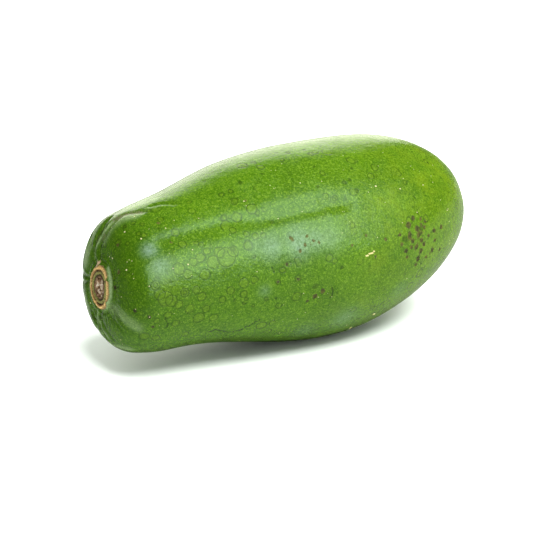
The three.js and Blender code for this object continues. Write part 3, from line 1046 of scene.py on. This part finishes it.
FLOOR_RADIUS = 4.5
FLOOR_SIDES = 48
FLOOR_SEEN = colour(0.93, 0.96, 0.94)
FLOOR_LIT = colour(0.84, 0.88, 0.8)
FLOOR_MIRRORED = colour(0.24, 0.25, 0.22)
FLOOR_MIRRORED_PAST_STEM = colour(0.03, 0.03, 0.03)


def make_floor():
    """A broad plain pale floor, a flat disc.

    It is palest to the camera, a little darker where its light falls on the fruit, and much darker
    in the fruit's reflections, most of all past the stem end.
    """
    turn = np.linspace(0, 2 * np.pi, FLOOR_SIDES, endpoint=False)
    rim = np.stack([FLOOR_RADIUS * np.cos(turn), FLOOR_RADIUS * np.sin(turn), 0 * turn], -1)
    floor = mesh_object("floor", rim, [tuple(range(FLOOR_SIDES))], smooth=False)
    material, recipe, shader = new_material("pale floor")
    path = recipe.put("ShaderNodeLightPath").outputs
    place = recipe.put("ShaderNodeTexCoord").outputs["Object"]
    across = recipe.put("ShaderNodeSeparateXYZ", {"Vector": place}).outputs["X"]
    past_stem = recipe.calc("MULTIPLY", path["Is Glossy Ray"], recipe.step(across, -0.12, -0.25))
    shade = recipe.blend(path["Is Camera Ray"], FLOOR_LIT, FLOOR_SEEN)
    shade = recipe.blend(path["Is Glossy Ray"], shade, FLOOR_MIRRORED)
    shade = recipe.blend(past_stem, shade, FLOOR_MIRRORED_PAST_STEM)
    recipe.tree.links.new(shade, shader.inputs["Base Color"])
    shader.inputs["Roughness"].default_value = 0.9
    shader.inputs["Specular IOR Level"].default_value = 0.0
    floor.data.materials.append(material)
    return floor


def make_camera():
    """The camera where the photograph was taken from."""
    eye, right, up, back = camera_axes()
    data = bpy.data.cameras.new("camera")
    data.sensor_width = SENSOR
    data.lens = FOCAL_PIXELS / PHOTO_SIZE * SENSOR
    data.clip_start = 0.05
    data.clip_end = 30
    camera = bpy.data.objects.new("camera", data)
    camera.location = eye * MM
    camera.rotation_mode = "QUATERNION"
    camera.rotation_quaternion = Vector(-back).to_track_quat("-Z", "Y")
    bpy.context.scene.collection.objects.link(camera)
    bpy.context.scene.camera = camera


def toward(azimuth, elevation):
    """Direction in degrees from the fruit: azimuth 0 is the front, 90 the blossom end."""
    a, e = math.radians(azimuth), math.radians(elevation)
    return Vector((math.sin(a) * math.cos(e), -math.cos(a) * math.cos(e), math.sin(e)))


def lit_only(light, name, things):
    """Keeps a light to some of the objects."""
    group = bpy.data.collections.new(name)
    for thing in things:
        group.objects.link(thing)
    light.light_linking.receiver_collection = group


FRUIT_MIDDLE = Vector((0, 0, 0.06))
FRONT = (10, 35, 0.9)  # azimuth and elevation in degrees, and distance in metres
# The softbox in front, as panels in one plane: name, size, shift in the plane, radiance.
FRONT_PANELS = [
    ("front softbox", (1.5, 0.7), (-0.35, -0.18), 4.8),
    ("front softbox top", (0.42, 0.3), (0.19, 0.32), 4.4),
    ("front softbox corner", (0.8, 0.17), (-0.65, 0.255), 3.8),
    ("front softbox end", (0.5, 0.95), (0.65, -0.15), 0.9),
]
FILL_SIZE = (1.88, 1.1)
WHITE = (1.0, 1.0, 1.0)
SOFTBOX_TINT = (0.9, 1.0, 0.93)
WALL_TINT = (1.0, 1.0, 0.85)
FLOOR_TINT = (0.97, 1.0, 0.98)
ROOM_LIGHT = colour(0.33, 0.35, 0.32)
ROOM_MIRRORED = colour(0.05, 0.05, 0.04)
BACKDROP = colour(1.0, 1.0, 1.0)


def add_light(data, away, distance, shift=(0.0, 0.0)):
    """Puts a light in a direction, facing the fruit, slid sideways and up in its own plane."""
    light = bpy.data.objects.new(data.name, data)
    light.rotation_mode = "QUATERNION"
    light.rotation_quaternion = (-away).to_track_quat("-Z", "Y")
    across = Vector((0, 0, 1)).cross(away).normalized()
    upward = away.cross(across)
    light.location = FRUIT_MIDDLE + distance * away + shift[0] * across + shift[1] * upward
    light.visible_camera = False
    bpy.context.scene.collection.objects.link(light)
    return light


def panel(name, azimuth, elevation, distance, size, shift, radiance, tint):
    """A flat soft panel of light, sized in metres."""
    data = bpy.data.lights.new(name, "AREA")
    data.shape = "RECTANGLE"
    data.size, data.size_y = size
    data.energy = radiance * math.pi * size[0] * size[1]
    data.color = tint
    return add_light(data, toward(azimuth, elevation), distance, shift)


def broad_sky(name, azimuth, elevation, spread, strength, tint):
    """A very soft light from far away, as from a white ceiling. It has no reflection."""
    data = bpy.data.lights.new(name, "SUN")
    data.angle = math.radians(spread)
    data.energy = strength * math.pi
    data.color = tint
    light = add_light(data, toward(azimuth, elevation), 2.0)
    light.visible_glossy = False
    return light


def make_lights(fruit, floor):
    """A softbox in front, a bright wall behind, and soft ceilings, the fruit's and the floor's own.

    The softbox's panels only show in reflections, and the front fill of its size gives the light.
    """
    for name, size, shift, radiance in FRONT_PANELS:
        mirrored = panel(name, *FRONT, size, shift, radiance, SOFTBOX_TINT)
        mirrored.visible_diffuse = False
        lit_only(mirrored, name + " on fruit", fruit)
    fill_light = panel("front fill", *FRONT, FILL_SIZE, (0.0, 0.0), 3.4, WHITE)
    fill_light.visible_glossy = False
    lit_only(fill_light, "front fill on fruit", fruit)
    panel("wall behind", 156, 21, 1.1, (1.0, 0.8), (0.0, 0.0), 2.2, WALL_TINT)
    over_fruit = broad_sky("ceiling over fruit", 60, 68, 50, 2.2, WHITE)
    lit_only(over_fruit, "ceiling on fruit", fruit)
    over_floor = broad_sky("ceiling over floor", 2, 60, 36, 1.9, FLOOR_TINT)
    lit_only(over_floor, "ceiling on floor", [floor])
    sky = broad_sky("sky over floor", 0, 89, 160, 0.5, FLOOR_TINT)
    lit_only(sky, "sky on floor", [floor])


def make_room():
    """A white backdrop for the camera, a dim room for light, and a dimmer one in reflections."""
    world = bpy.data.worlds.new("dim room")
    bpy.context.scene.world = world
    world.use_nodes = True
    world.node_tree.nodes.clear()
    room = Recipe(world.node_tree)
    path = room.put("ShaderNodeLightPath").outputs
    shade = room.blend(path["Is Glossy Ray"], ROOM_LIGHT, ROOM_MIRRORED)
    shade = room.blend(path["Is Camera Ray"], shade, BACKDROP)
    light = room.put("ShaderNodeBackground", {"Color": shade})
    room.put("ShaderNodeOutputWorld", {"Surface": light.outputs[0]})
    bpy.context.scene.view_settings.view_transform = "Standard"


make_camera()
papaya = Skin()
fruit_pieces = [make_skin(papaya), make_specks(papaya)]
make_lights(fruit_pieces, make_floor())
make_room()
